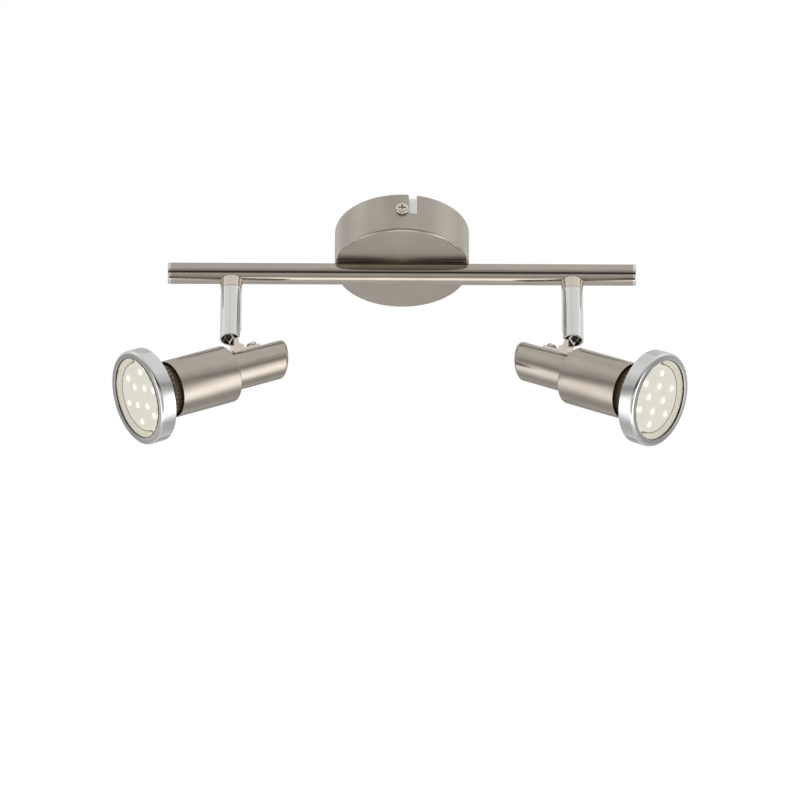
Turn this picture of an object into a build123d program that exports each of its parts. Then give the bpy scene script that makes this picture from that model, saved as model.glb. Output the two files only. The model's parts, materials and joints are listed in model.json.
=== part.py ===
from build123d import *
from math import cos, radians, sin
import os

# A ceiling spot bar. A drawn cup (the canopy) hooks over two screws on a ceiling bracket and
# carries a level tube. Two short arms hang from the tube. Each arm swivels about an upright
# axis, and a lamp head tilts on a pin in the arm's lower end. Each head takes a twist-lock
# reflector lamp that wears a chromed ring.
#
# Millimetres, +Z up. The origin is the centre of the canopy on the ceiling plane, so all of
# the object hangs below z = 0. X runs along the tube. The lamp side faces -Y.

# Canopy and ceiling bracket
CANOPY_R = 40.0
CANOPY_H = 25.8
CANOPY_EDGE_R = 1.5
SHEET = 1.0
SLOT_HALF = 2.3
SLOT_DEPTH = 13.3
NOTCH_X = 6.3
NOTCH_ROUND = 1.2
SCREW_Z = SLOT_HALF - SLOT_DEPTH
BRACKET_HALF_W = 8.4
BRACKET_END_Y = 38.0
BRACKET_T = 1.5
BRACKET_BEND_R = 3.0
TAB_DEPTH = 17.0
CEILING_HOLE_Y = 25.0
CEILING_HOLE_R = 2.25
CEILING_SLOT_L = 14.0

# Terminal block under the bracket
BLOCK_X = 25.0
BLOCK_Y = 16.0
BLOCK_TOP = -BRACKET_T
BLOCK_H = 11.0
POLE_PITCH = 8.0
POLE_Z = -6.0
CLAMP_R = 2.4
CLAMP_BORE_R = 1.7
CLAMP_SCREW_Y = 4.6
BLOCK_SCREW_X = 4.0
EARTH_SCREW_Y = 13.0

# Level tube and the threaded nipples that hold it
RAIL_R = 6.35
RAIL_BORE_R = 5.35
RAIL_Z = -29.5
RAIL_END_X = 137.4
CAP_T = 1.8
CAP_PLUG_L = 6.0
NIPPLE_R = 4.0
NIPPLE_BORE_R = 2.6
NIPPLE_HOLE_R = 4.05
NIPPLE_HEAD_R = 5.3
NIPPLE_HEAD_HALF_X = 6.0
NIPPLE_HEAD_FLAT = 2.2
SEAT_TOP = RAIL_Z + RAIL_R + SHEET
WASHER_TOP = SEAT_TOP + 1.2
NUT_TOP = WASHER_TOP + 3.8
NIPPLE_TOP = NUT_TOP + 1.0

# Arms
ARM_X = 101.3
ARM_R = 6.35
ARM_BORE_R = 5.35
COLLAR_TOP = RAIL_Z - 5.3
COLLAR_BOTTOM = RAIL_Z - 12.3
COLLAR_TOP_R = 6.75
SWIVEL_WASHER_T = 1.4
ARM_TOP = COLLAR_BOTTOM - SWIVEL_WASHER_T
ARM_BOTTOM = RAIL_Z - 48.0
ARM_LIP_R = 0.4
ARM_END_T = 2.5
SWIVEL_NUT_TOP = ARM_TOP - ARM_END_T - 0.3
SWIVEL_NUT_T = 3.5
SWIVEL_NIPPLE_END = SWIVEL_NUT_TOP - SWIVEL_NUT_T - 1.2
PIVOT_Z = ARM_BOTTOM + 5.0
SLOT_TOP = PIVOT_Z + 2.5
SLOT_HALF_W = 4.4

# Hinge at the arm's lower end
PIN_R = 1.5
PIN_HALF_L = 4.6
KNUCKLE_R = 3.0
TONGUE_HALF_W = 2.2
EAR_INNER = 2.5
EAR_OUTER = 4.0
INSERT_BOTTOM = PIVOT_Z + 3.6
INSERT_TOP = PIVOT_Z + 9.6

# Heads. Along the head's axis, u is counted from the step between the two housings, towards
# the lamp. v is the height above the axis, on the side of the arm.
HEAD_YAW = {"left": 19.3, "right": 23.5}
HEAD_PITCH = {"left": 28.6, "right": 30.6}
BRACKET_RAKE = 28.0
PIVOT_U = -16.1
PIVOT_V = 25.5
REAR_R = 11.15
REAR_L = 39.5
REAR_SLANT = 18.5
REAR_EDGE_R = 2.2
FRONT_R = 17.0
FRONT_L = 40.4
FRONT_WALL = 0.8
STEP_T = 1.5
SPIGOT_L = 5.0
LEAD_HOLE_R = 3.5
STRIP_T = 1.5
STRIP_FRONT_U = -9.5
STRIP_REAR_U = -28.0
BRACKET_SCREW_U = -24.5
LEAD_SLOT_U = (-18.5, -12.5)
BRACKET_SCREW_R = 1.75

# The tilt bracket seen from the side, round the pivot, with y along the web
BRACKET_PROFILE = [(-0.8, -16.0), (-7.2, -12.4), (-7.2, -9.6), (-4.4, -9.0), (-3.4, -6.0), (-KNUCKLE_R, 0),
                   (2.9, -0.9), (-0.8, -5.5)]
WEB_BACK = -2.3
WEB_TOP = -4.8

# Lamp holder
HOLDER_R = 12.5
HOLDER_FACE_U = 13.0
HOLDER_LIP_T = 3.0
HOLDER_POCKET_T = 4.5
HOLDER_GAP = 0.3
HOLDER_SCREW_R = 6.2
HOLDER_SCREW_HOLE_R = 1.5
PIN_CIRCLE_R = 5.0
TWIST = 25.0
HOLDER_SCREW_ANGLE = 90 + TWIST / 2

# Twist-lock lamp
PIN_NECK_R = 1.6
PIN_HEAD_R = 2.5
PIN_HEAD_T = 3.0
PIN_HEAD_U = 9.6
LAMP_BACK_U = 13.3
BASE_R = 10.2
BODY_BACK_U = 24.0
BODY_BACK_R = 12.5
NECK_U = 38.0
NECK_R = 14.6
RIM_BACK_U = 58.0
RIM_BACK_R = 23.9
LAMP_R = 25.0
LAMP_FRONT_U = 61.4
BOARD_U = 57.0
BOARD_T = 1.2
BOARD_R = 20.4
LENS_BACK_U = 60.1
LENS_T = 1.2
LENS_R = 24.2
CUP_R = 23.7
LED_R = 1.5
LED_T = 0.9
LED_OUTER_R = 15.4
LED_INNER_R = 7.6
LED_TURN = {"left": 10.0, "right": 26.6}
LED_INNER_LAG = 2.5

# Trim ring and the spring ring that holds it to the lamp
RING_R = 28.2
RING_BACK_U = 53.0
RING_FRONT_U = 63.0
RING_BACK_R = 27.2
RING_EDGE_R = 1.8
RING_LIP_R = 24.0
RING_LIP_EDGE = 0.5
RING_BORE_R = 25.3
CLIP_GROOVE_W = 1.4
CLIP_GROOVE_R = 25.9
CLIP_WIRE_R = 0.6
CLIP_TURN = 330

# Leads
LEAD_R = 0.65
LEAD_PITCH = 0.95

SIDES = {"left": -1, "right": 1}
UP = Vector(0, 0, 1)

os.makedirs("parts", exist_ok=True)


def heading(side):
    """Level direction in which a head points."""
    yaw = radians(HEAD_YAW[side])
    return Vector(SIDES[side] * cos(yaw), -sin(yaw), 0)


def arm_plane(side):
    """Upright plane through an arm's axis: x is the heading, y is the height."""
    return Plane(origin=(SIDES[side] * ARM_X, 0, 0), x_dir=heading(side), z_dir=heading(side).cross(UP))


def level_plane(side, z):
    """Level plane round an arm's axis: x is the heading."""
    return Plane(origin=(SIDES[side] * ARM_X, 0, z), x_dir=heading(side), z_dir=UP)


def head_plane(side):
    """Plane through a head's axis: x is u, y is v, and the origin is the step's centre."""
    pitch = radians(HEAD_PITCH[side])
    axis = heading(side) * cos(pitch) - UP * sin(pitch)
    rise = heading(side) * sin(pitch) + UP * cos(pitch)
    pivot = Vector(SIDES[side] * ARM_X, 0, PIVOT_Z)
    return Plane(origin=pivot - axis * PIVOT_U - rise * PIVOT_V, x_dir=axis, z_dir=axis.cross(rise))


def bracket_plane(side):
    """Plane through the tilt pivot, turned so that the bracket's tongue stands along y."""
    head = head_plane(side)
    rake = radians(BRACKET_RAKE)
    pivot = head.from_local_coords((PIVOT_U, PIVOT_V, 0))
    return Plane(origin=pivot, x_dir=head.x_dir * cos(rake) + head.y_dir * sin(rake), z_dir=head.z_dir)


def across_plane(side, u):
    """Plane across a head's axis at u: x is v, and its normal points to the lamp."""
    head = head_plane(side)
    return Plane(origin=head.origin + head.x_dir * u, x_dir=head.y_dir, z_dir=head.x_dir)


def head_axis(side):
    head = head_plane(side)
    return Axis(head.origin, head.x_dir)


def arm_axis(side):
    return Axis((SIDES[side] * ARM_X, 0, 0), (0, 0, 1))


# ---------------------------------------------------------------- canopy and ceiling bracket

CANOPY_FACES = (Plane.XZ, Plane(origin=(0, 0, 0), x_dir=(-1, 0, 0), z_dir=(0, 1, 0)))

with BuildPart() as canopy:
    # A drawn cup, open at the ceiling
    with BuildSketch(Plane.XZ):
        with BuildLine():
            inner_edge_r = CANOPY_EDGE_R - SHEET
            wall_foot = CANOPY_EDGE_R - CANOPY_H
            floor_end = CANOPY_R - CANOPY_EDGE_R
            Line((0, -CANOPY_H), (floor_end, -CANOPY_H))
            RadiusArc((floor_end, -CANOPY_H), (CANOPY_R, wall_foot), -CANOPY_EDGE_R)
            inner_r = CANOPY_R - SHEET
            Polyline((CANOPY_R, wall_foot), (CANOPY_R, 0), (inner_r, 0), (inner_r, wall_foot))
            RadiusArc((inner_r, wall_foot), (floor_end, SHEET - CANOPY_H), inner_edge_r)
            Polyline((floor_end, SHEET - CANOPY_H), (0, SHEET - CANOPY_H), (0, -CANOPY_H))
        make_face()
    revolve(axis=Axis.Z)
    # The seat pressed into the floor, in which the tube lies
    with BuildSketch(Plane.YZ):
        with Locations((0, RAIL_Z)):
            Circle(RAIL_R + SHEET)
        with Locations((0, SHEET - CANOPY_H)):
            Rectangle(4 * RAIL_R, 4 * RAIL_R, align=(Align.CENTER, Align.MIN), mode=Mode.INTERSECT)
    extrude(amount=CANOPY_R - SHEET / 2, both=True)
    with BuildSketch(Plane.YZ):
        with Locations((0, RAIL_Z)):
            Circle(RAIL_R)
    extrude(amount=CANOPY_R + 1, both=True, mode=Mode.SUBTRACT)
    # Two L-shaped slots that hook over the bracket's screws
    for face in CANOPY_FACES:
        with BuildSketch(face.offset(CANOPY_R - 6)) as hook:
            with Locations((NOTCH_X, 0)):
                Rectangle(4 * SLOT_HALF, 2, align=(Align.CENTER, Align.MIN))
                Rectangle(2 * SLOT_HALF, SLOT_DEPTH, align=(Align.CENTER, Align.MAX))
            for x in (NOTCH_X - SLOT_HALF, NOTCH_X + SLOT_HALF):
                fillet(hook.vertices().sort_by_distance((x, 0))[0], NOTCH_ROUND)
            with Locations((0, SCREW_Z)):
                Circle(SLOT_HALF)
                Rectangle(NOTCH_X, 2 * SLOT_HALF, align=(Align.MIN, Align.CENTER))
        extrude(amount=10, mode=Mode.SUBTRACT)
    # Hole for the nipple
    with BuildSketch(Plane.XY.offset(SEAT_TOP + 1)):
        Circle(NIPPLE_HOLE_R)
    extrude(amount=-4, mode=Mode.SUBTRACT)
canopy.part.label = "canopy"
export_step(canopy.part, "parts/canopy.step")

with BuildPart() as ceiling_bracket:
    # Side view of the strip: flat on the ceiling, with a tab bent down at each end
    with BuildSketch(Plane.YZ) as strip_side:
        with BuildLine():
            inner_y = BRACKET_END_Y - BRACKET_T
            Polyline((0, 0), (BRACKET_END_Y, 0), (BRACKET_END_Y, -TAB_DEPTH), (inner_y, -TAB_DEPTH),
                     (inner_y, -BRACKET_T), (0, -BRACKET_T), close=True)
        make_face()
        fillet(strip_side.vertices().sort_by_distance((BRACKET_END_Y, 0))[0], BRACKET_BEND_R)
        fillet(strip_side.vertices().sort_by_distance((inner_y, -BRACKET_T))[0], BRACKET_BEND_R - BRACKET_T)
        mirror(about=Plane.YZ)
    extrude(amount=BRACKET_HALF_W, both=True)
    with BuildSketch():
        with GridLocations(0, 2 * CEILING_HOLE_Y, 1, 2):
            SlotOverall(CEILING_SLOT_L, 2 * CEILING_HOLE_R, rotation=90)
        with Locations((BLOCK_SCREW_X, 0)):
            Circle(1.5)
        with Locations((0, EARTH_SCREW_Y)):
            Circle(2)
    extrude(amount=-2 * BRACKET_T, mode=Mode.SUBTRACT)
    with BuildSketch(Plane.XZ):
        with Locations((0, SCREW_Z)):
            Circle(2)
    extrude(amount=BRACKET_END_Y + 1, both=True, mode=Mode.SUBTRACT)
ceiling_bracket.part.label = "ceiling_bracket"
export_step(ceiling_bracket.part, "parts/ceiling_bracket.step")

with BuildPart() as canopy_screws:
    for face in CANOPY_FACES:
        with BuildSketch(face.offset(CANOPY_R)):
            with Locations((0, SCREW_Z)):
                Circle(3.9)
        extrude(amount=2.4)
    fillet(canopy_screws.edges().filter_by(GeomType.CIRCLE).group_by(Axis.Y)[0], 1.3)
    fillet(canopy_screws.edges().filter_by(GeomType.CIRCLE).group_by(Axis.Y)[-1], 1.3)
    for face in CANOPY_FACES:
        with BuildSketch(face.offset(CANOPY_R + 0.5)):
            with Locations((0, SCREW_Z)):
                Circle(2)
        extrude(amount=-7.5)
        with BuildSketch(face.offset(CANOPY_R + 2.5)):
            with Locations((0, SCREW_Z)):
                Rectangle(4.4, 1.0)
                Rectangle(1.0, 4.4)
        extrude(amount=-1.6, taper=12, mode=Mode.SUBTRACT)
canopy_screws.part.label = "canopy_screws"
export_step(canopy_screws.part, "parts/canopy_screws.step")

# ---------------------------------------------------------------- terminal block and earth

POLES = (-POLE_PITCH, 0, POLE_PITCH)
CLAMP_SCREWS = [(x, y) for x in POLES for y in (-CLAMP_SCREW_Y, CLAMP_SCREW_Y)]

with BuildPart() as terminal_block:
    with BuildSketch(Plane.XY.offset(BLOCK_TOP)):
        RectangleRounded(BLOCK_X, BLOCK_Y, 1)
    extrude(amount=-BLOCK_H)
    # Grooves between the three poles
    with BuildSketch(Plane.XY.offset(BLOCK_TOP - BLOCK_H)):
        with Locations((-BLOCK_SCREW_X, 0), (BLOCK_SCREW_X, 0)):
            Rectangle(1.2, BLOCK_Y)
    extrude(amount=4, mode=Mode.SUBTRACT)
    with BuildSketch(Plane.XZ):
        with Locations([(x, POLE_Z) for x in POLES]):
            Circle(CLAMP_R)
    extrude(amount=BLOCK_Y, both=True, mode=Mode.SUBTRACT)
    with BuildSketch(Plane.XY.offset(BLOCK_TOP - BLOCK_H)):
        with Locations(CLAMP_SCREWS):
            Circle(1.6)
    extrude(amount=BLOCK_H + BLOCK_TOP - POLE_Z, mode=Mode.SUBTRACT)
    with BuildSketch(Plane.XY.offset(BLOCK_TOP)):
        with Locations((BLOCK_SCREW_X, 0)):
            Circle(1.5)
    extrude(amount=-BLOCK_H, mode=Mode.SUBTRACT)
terminal_block.part.label = "terminal_block"
export_step(terminal_block.part, "parts/terminal_block.step")

with BuildPart() as terminal_clamps:
    with BuildSketch(Plane.XZ):
        with Locations([(x, POLE_Z) for x in POLES]):
            Circle(CLAMP_R)
            Circle(CLAMP_BORE_R, mode=Mode.SUBTRACT)
    extrude(amount=BLOCK_Y / 2 - 1, both=True)
    with BuildSketch(Plane.XY.offset(POLE_Z)):
        with Locations(CLAMP_SCREWS):
            Circle(1.3)
    extrude(amount=-2 * CLAMP_R, mode=Mode.SUBTRACT)
terminal_clamps.part.label = "terminal_clamps"
export_step(terminal_clamps.part, "parts/terminal_clamps.step")

with BuildPart() as terminal_screws:
    with BuildSketch(Plane.XY.offset(POLE_Z - CLAMP_BORE_R)):
        with Locations(CLAMP_SCREWS):
            Circle(1.3)
    extrude(amount=-4)
    with BuildSketch(Plane.XY.offset(POLE_Z - CLAMP_BORE_R - 4)):
        with Locations(CLAMP_SCREWS):
            Rectangle(2.6, 0.5)
    extrude(amount=0.8, mode=Mode.SUBTRACT)
terminal_screws.part.label = "terminal_screws"
export_step(terminal_screws.part, "parts/terminal_screws.step")

with BuildPart() as block_screw:
    with BuildSketch():
        with Locations((BLOCK_SCREW_X, 0)):
            Circle(1.5)
    extrude(amount=BLOCK_TOP - BLOCK_H)
    with BuildSketch(Plane.XY.offset(BLOCK_TOP - BLOCK_H)):
        with Locations((BLOCK_SCREW_X, 0)):
            Circle(2.2)
    extrude(amount=-1.4)
block_screw.part.label = "block_screw"
export_step(block_screw.part, "parts/block_screw.step")

with BuildPart() as earth_screw:
    with BuildSketch(Plane.XY.offset(-0.2)):
        with Locations((0, EARTH_SCREW_Y)):
            Circle(2)
    extrude(amount=-3)
    with BuildSketch(Plane.XY.offset(-BRACKET_T - 2 * LEAD_R)):
        with Locations((0, EARTH_SCREW_Y)):
            Circle(3.5)
    extrude(amount=-2.2)
    fillet(earth_screw.edges().group_by(Axis.Z)[0], 0.8)
earth_screw.part.label = "earth_screw"
export_step(earth_screw.part, "parts/earth_screw.step")

with BuildPart() as earth_lead:
    # From the middle pole to the earth screw, and once round the screw under its head
    hook_r = 2.1 + LEAD_R
    hook_z = -BRACKET_T - LEAD_R
    with BuildLine() as earth_route:
        FilletPolyline((0, 3, POLE_Z), (0, 18.5, POLE_Z), (hook_r, 18.5, hook_z),
                       (hook_r, EARTH_SCREW_Y, hook_z), radius=(1.5, 1.5))
        CenterArc((0, EARTH_SCREW_Y, hook_z), hook_r, 0, -150)
    with BuildSketch(Plane(origin=(0, 3, POLE_Z), z_dir=(0, 1, 0))):
        Circle(LEAD_R - 0.05)
    sweep(path=earth_route.wire())
earth_lead.part.label = "earth_lead"
export_step(earth_lead.part, "parts/earth_lead.step")

# ---------------------------------------------------------------- level tube

with BuildPart() as tube_rail:
    with BuildSketch(Plane.YZ):
        with Locations((0, RAIL_Z)):
            Circle(RAIL_R)
            Circle(RAIL_BORE_R, mode=Mode.SUBTRACT)
    extrude(amount=RAIL_END_X, both=True)
    with BuildSketch(Plane.XY.offset(RAIL_Z)):
        Circle(NIPPLE_HOLE_R)
    extrude(amount=2 * RAIL_R, mode=Mode.SUBTRACT)
    with BuildSketch(Plane.XY.offset(RAIL_Z)):
        with GridLocations(2 * ARM_X, 0, 2, 1):
            Circle(NIPPLE_HOLE_R)
    extrude(amount=-2 * RAIL_R, mode=Mode.SUBTRACT)
tube_rail.part.label = "tube_rail"
export_step(tube_rail.part, "parts/tube_rail.step")

with BuildPart() as centre_nipple:
    # The head lies inside the tube, shaped to its bore
    with BuildSketch(Plane.YZ):
        with Locations((0, RAIL_Z)):
            Circle(NIPPLE_HEAD_R)
        with Locations((0, RAIL_Z + NIPPLE_HEAD_FLAT)):
            Rectangle(4 * RAIL_R, 2 * RAIL_R, align=(Align.CENTER, Align.MIN), mode=Mode.INTERSECT)
    extrude(amount=NIPPLE_HEAD_HALF_X, both=True)
    with BuildSketch(Plane.XY.offset(RAIL_Z + NIPPLE_HEAD_FLAT)):
        Circle(NIPPLE_R)
    extrude(amount=NIPPLE_TOP - RAIL_Z - NIPPLE_HEAD_FLAT)
    with BuildSketch(Plane.XY.offset(RAIL_Z)):
        Circle(NIPPLE_BORE_R)
    extrude(amount=NIPPLE_TOP - RAIL_Z, mode=Mode.SUBTRACT)
centre_nipple.part.label = "centre_nipple"
export_step(centre_nipple.part, "parts/centre_nipple.step")

with BuildPart() as centre_washer:
    # Flat on top, hollowed below to sit on the round seat
    with BuildSketch(Plane.XY.offset(SEAT_TOP - 2)):
        Circle(7)
        Circle(NIPPLE_HOLE_R, mode=Mode.SUBTRACT)
    extrude(amount=WASHER_TOP - SEAT_TOP + 2)
    with BuildSketch(Plane.YZ):
        with Locations((0, RAIL_Z)):
            Circle(RAIL_R + SHEET)
    extrude(amount=10, both=True, mode=Mode.SUBTRACT)
centre_washer.part.label = "centre_washer"
export_step(centre_washer.part, "parts/centre_washer.step")

with BuildPart() as centre_nut:
    with BuildSketch(Plane.XY.offset(WASHER_TOP)):
        RegularPolygon(6, 6, major_radius=False)
        Circle(NIPPLE_R, mode=Mode.SUBTRACT)
    extrude(amount=NUT_TOP - WASHER_TOP)
centre_nut.part.label = "centre_nut"
export_step(centre_nut.part, "parts/centre_nut.step")

with BuildPart() as swivel_nipples:
    # One above each arm, its head on the floor of the tube's bore
    with BuildSketch(Plane.YZ):
        with Locations((0, RAIL_Z)):
            Circle(NIPPLE_HEAD_R)
        with Locations((0, RAIL_Z - NIPPLE_HEAD_FLAT)):
            Rectangle(4 * RAIL_R, 2 * RAIL_R, align=(Align.CENTER, Align.MAX), mode=Mode.INTERSECT)
    extrude(amount=NIPPLE_HEAD_HALF_X + ARM_X, both=True)
    with BuildSketch(Plane.YZ):
        with Locations((0, RAIL_Z)):
            Rectangle(4 * RAIL_R, 4 * RAIL_R)
    extrude(amount=ARM_X - NIPPLE_HEAD_HALF_X, both=True, mode=Mode.SUBTRACT)
    with BuildSketch(Plane.XY.offset(RAIL_Z - NIPPLE_HEAD_FLAT)):
        with GridLocations(2 * ARM_X, 0, 2, 1):
            Circle(NIPPLE_R)
    extrude(amount=SWIVEL_NIPPLE_END - RAIL_Z + NIPPLE_HEAD_FLAT)
    with BuildSketch(Plane.XY.offset(RAIL_Z)):
        with GridLocations(2 * ARM_X, 0, 2, 1):
            Circle(NIPPLE_BORE_R)
    extrude(amount=SWIVEL_NIPPLE_END - RAIL_Z, mode=Mode.SUBTRACT)
swivel_nipples.part.label = "swivel_nipples"
export_step(swivel_nipples.part, "parts/swivel_nipples.step")

with BuildPart() as swivel_nuts:
    # Round nuts with two wrench slots, hidden in the arms' tops
    with BuildSketch(Plane.XY.offset(SWIVEL_NUT_TOP)):
        with GridLocations(2 * ARM_X, 0, 2, 1):
            Circle(5.0)
            Circle(NIPPLE_R, mode=Mode.SUBTRACT)
    extrude(amount=-SWIVEL_NUT_T)
    with BuildSketch(Plane.XY.offset(SWIVEL_NUT_TOP - SWIVEL_NUT_T)):
        with GridLocations(2 * ARM_X, 0, 2, 1):
            Rectangle(12, 1.4)
            Circle(NIPPLE_R, mode=Mode.SUBTRACT)
    extrude(amount=1.2, mode=Mode.SUBTRACT)
swivel_nuts.part.label = "swivel_nuts"
export_step(swivel_nuts.part, "parts/swivel_nuts.step")


def lead_route(pole, side):
    """Points of a lead from a pole through the nipple and the tube to the end of a swivel nipple."""
    x = -pole * POLE_PITCH + side * 0.85
    turn_y = -pole * 13.5
    bore_y = -pole * LEAD_PITCH
    crossing_z = (NIPPLE_TOP + BLOCK_TOP - BLOCK_H) / 2
    return [(x, -pole * 5, POLE_Z), (x, turn_y, POLE_Z), (x, turn_y, crossing_z),
            (side * LEAD_PITCH, bore_y, crossing_z), (side * LEAD_PITCH, bore_y, RAIL_Z),
            (side * ARM_X, bore_y, RAIL_Z), (side * ARM_X, bore_y, SWIVEL_NIPPLE_END)]


with BuildPart() as rail_leads:
    # Live and neutral leads for both arms
    for pole in (-1, 1):
        for side in SIDES.values():
            points = lead_route(pole, side)
            with BuildLine() as route:
                FilletPolyline(*points, radius=(2.5, 2.5, 1.9, 4, 4))
            with BuildSketch(Plane(origin=points[0], z_dir=(0, -pole, 0))):
                Circle(LEAD_R)
            sweep(path=route.wire())
rail_leads.part.label = "rail_leads"
export_step(rail_leads.part, "parts/rail_leads.step")


def end_cap(side):
    """Chromed cap with a plug that presses into the tube."""
    sign = SIDES[side]
    face = Plane(origin=(sign * RAIL_END_X, 0, RAIL_Z), x_dir=(0, 1, 0), z_dir=(sign, 0, 0))
    with BuildPart() as cap:
        with BuildSketch(face):
            Circle(RAIL_R)
        extrude(amount=CAP_T)
        tip = (sign * 2 * RAIL_END_X, 0, RAIL_Z)
        fillet(cap.edges().filter_by(GeomType.CIRCLE).sort_by_distance(tip)[0], 0.6)
        with BuildSketch(face):
            Circle(RAIL_BORE_R - 0.05)
        extrude(amount=-CAP_PLUG_L)
    cap.part.label = f"{side}_end_cap"
    export_step(cap.part, f"parts/{side}_end_cap.step")


def arm_collar(side):
    """Turned collar, saddled to the tube's underside."""
    with BuildPart() as collar:
        with BuildSketch(arm_plane(side)):
            with BuildLine():
                Polyline((NIPPLE_HOLE_R, COLLAR_BOTTOM), (ARM_R, COLLAR_BOTTOM), (COLLAR_TOP_R, COLLAR_TOP),
                         (NIPPLE_HOLE_R, COLLAR_TOP), close=True)
            make_face()
        revolve(axis=arm_axis(side))
        fillet(collar.edges().group_by(Axis.Z)[-1].sort_by(SortBy.RADIUS)[-1], 0.7)
        with BuildSketch(Plane.YZ.offset(SIDES[side] * ARM_X)):
            with Locations((0, RAIL_Z)):
                Circle(RAIL_R)
        extrude(amount=10, both=True, mode=Mode.SUBTRACT)
    collar.part.label = f"{side}_arm_collar"
    export_step(collar.part, f"parts/{side}_arm_collar.step")


# ---------------------------------------------------------------- arms


def swivel_washer(side):
    """Bright ring between collar and arm."""
    with BuildPart() as washer:
        with BuildSketch(level_plane(side, ARM_TOP)):
            Circle(ARM_R - 0.1)
            Circle(NIPPLE_R + 0.3, mode=Mode.SUBTRACT)
        extrude(amount=SWIVEL_WASHER_T)
        chamfer(washer.edges().filter_by(GeomType.CIRCLE).sort_by(SortBy.RADIUS)[-2:], 0.25)
    washer.part.label = f"{side}_swivel_washer"
    export_step(washer.part, f"parts/{side}_swivel_washer.step")


def arm_tube(side):
    """Chromed tube with a closed top, slotted at the back of its open lower end."""
    with BuildPart() as tube:
        with BuildSketch(level_plane(side, ARM_BOTTOM)):
            Circle(ARM_R)
        extrude(amount=ARM_TOP - ARM_BOTTOM)
        with BuildSketch(level_plane(side, ARM_BOTTOM)):
            Circle(ARM_BORE_R)
        extrude(amount=ARM_TOP - ARM_END_T - ARM_BOTTOM, mode=Mode.SUBTRACT)
        fillet(tube.edges().filter_by(GeomType.CIRCLE).group_by(Axis.Z)[0], ARM_LIP_R)
        with BuildSketch(level_plane(side, ARM_TOP)):
            Circle(NIPPLE_HOLE_R)
        extrude(amount=-2 * ARM_END_T, mode=Mode.SUBTRACT)
        # Room behind the pin for the bracket as the head tilts down
        with BuildSketch(level_plane(side, ARM_BOTTOM)):
            with Locations((-TONGUE_HALF_W, 0)):
                Rectangle(2 * ARM_R, 2 * SLOT_HALF_W, align=(Align.MAX, Align.CENTER))
        extrude(amount=SLOT_TOP - ARM_BOTTOM, mode=Mode.SUBTRACT)
    tube.part.label = f"{side}_arm_tube"
    export_step(tube.part, f"parts/{side}_arm_tube.step")


def hinge_insert(side):
    """Plug in the arm's end, with a tongue for the tilt pin and a notch for the leads."""
    with BuildPart() as insert:
        with BuildSketch(level_plane(side, INSERT_BOTTOM)):
            Circle(ARM_BORE_R - 0.05)
            with Locations((-TONGUE_HALF_W - 0.8, 0)):
                Rectangle(ARM_BORE_R, 2 * TONGUE_HALF_W, align=(Align.MAX, Align.CENTER), mode=Mode.SUBTRACT)
        extrude(amount=INSERT_TOP - INSERT_BOTTOM)
        with BuildSketch(arm_plane(side)):
            with Locations((0, PIVOT_Z)):
                Circle(KNUCKLE_R)
                Rectangle(2 * KNUCKLE_R, INSERT_BOTTOM - PIVOT_Z + 1, align=(Align.CENTER, Align.MIN))
                Circle(PIN_R, mode=Mode.SUBTRACT)
        extrude(amount=TONGUE_HALF_W, both=True)
    insert.part.label = f"{side}_hinge_insert"
    export_step(insert.part, f"parts/{side}_hinge_insert.step")


def hinge_pin(side):
    """Pin fixed in the insert's tongue. The bracket's ears turn on it."""
    with BuildPart() as pin:
        with BuildSketch(arm_plane(side)):
            with Locations((0, PIVOT_Z)):
                Circle(PIN_R)
        extrude(amount=PIN_HALF_L, both=True)
        chamfer(pin.edges().filter_by(GeomType.CIRCLE), 0.3)
    pin.part.label = f"{side}_hinge_pin"
    export_step(pin.part, f"parts/{side}_hinge_pin.step")


def arm_leads(side):
    """Two leads from the swivel nipple down to the notch in the hinge insert."""
    plane = arm_plane(side)
    with BuildPart() as leads:
        for across in (-LEAD_PITCH, LEAD_PITCH):
            top = (0, SWIVEL_NIPPLE_END - 0.4, across)
            notch_x = -TONGUE_HALF_W - 0.8 - LEAD_R - 0.4
            local = [top, (0, top[1] - 4, across), (notch_x, INSERT_TOP + 2, across),
                     (notch_x, INSERT_BOTTOM, across)]
            points = [plane.from_local_coords(p) for p in local]
            with BuildLine() as route:
                FilletPolyline(*points, radius=(4, 2.5))
            with BuildSketch(Plane(origin=points[0], z_dir=(0, 0, -1))):
                Circle(LEAD_R)
            sweep(path=route.wire())
    leads.part.label = f"{side}_arm_leads"
    export_step(leads.part, f"parts/{side}_arm_leads.step")


# ---------------------------------------------------------------- heads


def strip_holes(side):
    """What is cut from both the bracket's strip and the rear housing: lead slot and screw hole."""
    head = head_plane(side)
    rear, front = LEAD_SLOT_U
    with BuildPart() as holes:
        with BuildSketch(head):
            with Locations(((rear + front) / 2, REAR_R)):
                Rectangle(front - rear, 8)
        extrude(amount=TONGUE_HALF_W, both=True)
        with BuildSketch(Plane(origin=head.origin + head.x_dir * BRACKET_SCREW_U, x_dir=head.x_dir,
                               z_dir=head.y_dir)):
            Circle(BRACKET_SCREW_R)
        extrude(amount=2 * REAR_R)
    return holes.part


def bracket_strip(side):
    """The bracket's strip, curved to the rear housing."""
    with BuildPart() as strip:
        with BuildSketch(across_plane(side, STRIP_REAR_U)):
            Circle(REAR_R + STRIP_T)
            Circle(REAR_R, mode=Mode.SUBTRACT)
            with Locations((REAR_R, 0)):
                Rectangle(4 * STRIP_T, 2 * EAR_OUTER, mode=Mode.INTERSECT)
        extrude(amount=STRIP_FRONT_U - STRIP_REAR_U)
    return strip.part


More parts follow.
